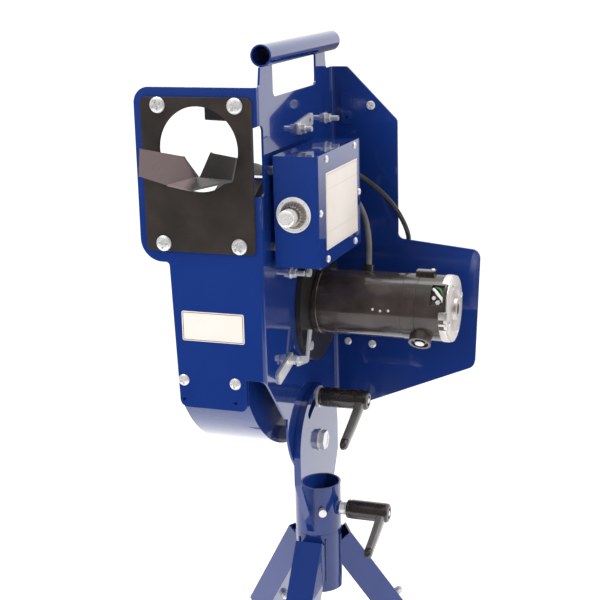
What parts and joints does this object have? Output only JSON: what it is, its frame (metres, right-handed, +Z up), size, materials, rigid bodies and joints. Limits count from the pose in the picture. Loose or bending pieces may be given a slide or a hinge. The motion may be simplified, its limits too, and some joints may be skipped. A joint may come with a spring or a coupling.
{
  "type": "baseball pitching machine",
  "caption": "Single-wheel ball pitching machine with side motor and speed control on a head that tilts and swivels on a tripod.",
  "frame": {"origin": "on the floor under the middle of the machine's bounding box", "axes": "+Z up; +Y is the throwing direction, away from the operator; +X to the operator's right, the motor side"},
  "size_m": [0.8428, 0.7299, 1.4469],
  "materials": {
    "blue_enamel": "gloss baked enamel",
    "zinc_plate": "bright zinc plated steel",
    "steel_sheet": "plain steel sheet",
    "aluminium": "cast and turned, satin",
    "motor_black": "black semi-gloss",
    "motor_grey": "dark grey gloss",
    "black_panel": "matt black sheet",
    "black_sheet": "black satin paint",
    "cream_label": "blank cream label",
    "black_rubber": "matt",
    "tyre_rubber": "smooth, worn by balls",
    "black_cord": "satin jacket",
    "lead_grey": "grey jacket",
    "black_plastic": "moulded",
    "knob_metal": "turned, fluted skirt and bright cap",
    "lever_grey": "dark grey moulded",
    "circuit": "green board",
    "nickel": "nickel plated"
  },
  "bodies": {
    "stand": {"tripod_hub": "blue_enamel", "swivel_post": "steel_sheet", "leg_front": "blue_enamel", "leg_right": "blue_enamel", "leg_left": "blue_enamel", "rubber_feet": "black_rubber", "leg_bolts": "zinc_plate"},
    "yoke": {"neck_plate": "blue_enamel", "neck_tube": "blue_enamel", "swivel_boss": "zinc_plate", "stop_screw": "zinc_plate"},
    "wheel": {"wheel_tyre": "tyre_rubber", "wheel_rim": "aluminium", "motor_shaft": "steel_sheet", "hub_collar": "steel_sheet"},
    "knob": {"speed_knob": "knob_metal"},
    "tilt_handle": {"tilt_lever": "lever_grey"},
    "swivel_handle": {"swivel_lever": "lever_grey"},
    "head": {"chassis": "blue_enamel", "chute_plate": "black_panel", "feed_chute": "black_sheet", "rail_bracket": "blue_enamel", "shield_bracket": "blue_enamel", "handle_tube": "blue_enamel", "rating_plate": "cream_label", "chute_screws": "zinc_plate", "panel_screws": "zinc_plate", "upper_pad": "black_rubber", "pad_bracket": "blue_enamel", "wheel_guard": "blue_enamel", "guard_spacers": "zinc_plate", "motor_flange": "motor_black", "motor_body": "motor_grey", "motor_end_bell": "aluminium", "brush_caps": "motor_grey", "motor_bolts": "zinc_plate", "motor_lead_gland": "motor_black", "motor_lead": "lead_grey", "control_box": "blue_enamel", "box_lid": "blue_enamel", "lid_screws": "zinc_plate", "lid_label": "cream_label", "box_standoffs": "zinc_plate", "speed_board": "circuit", "dial_plate": "steel_sheet", "potentiometer": "zinc_plate", "web_bolts": "zinc_plate", "strap_tabs": "zinc_plate", "cranked_bar": "zinc_plate", "cord_gland": "black_plastic", "lead_gland": "black_plastic", "power_cord": "black_cord", "cord_coil": "black_cord", "cord_hook": "zinc_plate", "cord_plug": "black_plastic", "plug_blades": "nickel", "pivot_bolt": "zinc_plate", "pivot_nut": "zinc_plate", "tilt_stud": "zinc_plate", "tilt_washer": "zinc_plate"}
  },
  "joints": [
    {"name": "swivel", "type": "hinge", "parent": "stand", "child": "yoke", "pos_m": [0, 0.1084, 0.682], "axis": [0, 0, 1], "range_deg": [-180, 180]},
    {"name": "tilt", "type": "hinge", "parent": "yoke", "child": "head", "pos_m": [0, 0.1084, 0.798], "axis": [1, 0, 0], "range_deg": [-32, 32]},
    {"name": "wheel_spin", "type": "hinge", "parent": "head", "child": "wheel", "pos_m": [-0.097, 0.1339, 1.0264], "axis": [1, 0, 0], "continuous": true},
    {"name": "speed_knob_turn", "type": "hinge", "parent": "head", "child": "knob", "pos_m": [0.0316, -0.0741, 1.203], "axis": [0, 1, 0], "range_deg": [0, 300]},
    {"name": "tilt_clamp", "type": "hinge", "parent": "head", "child": "tilt_handle", "pos_m": [0.0436, 0.1084, 0.872], "axis": [1, 0, 0], "range_deg": [0, 150]},
    {"name": "swivel_clamp", "type": "hinge", "parent": "yoke", "child": "swivel_handle", "pos_m": [0.0836, 0.1084, 0.682], "axis": [1, 0, 0], "range_deg": [0, 180]}
  ]
}
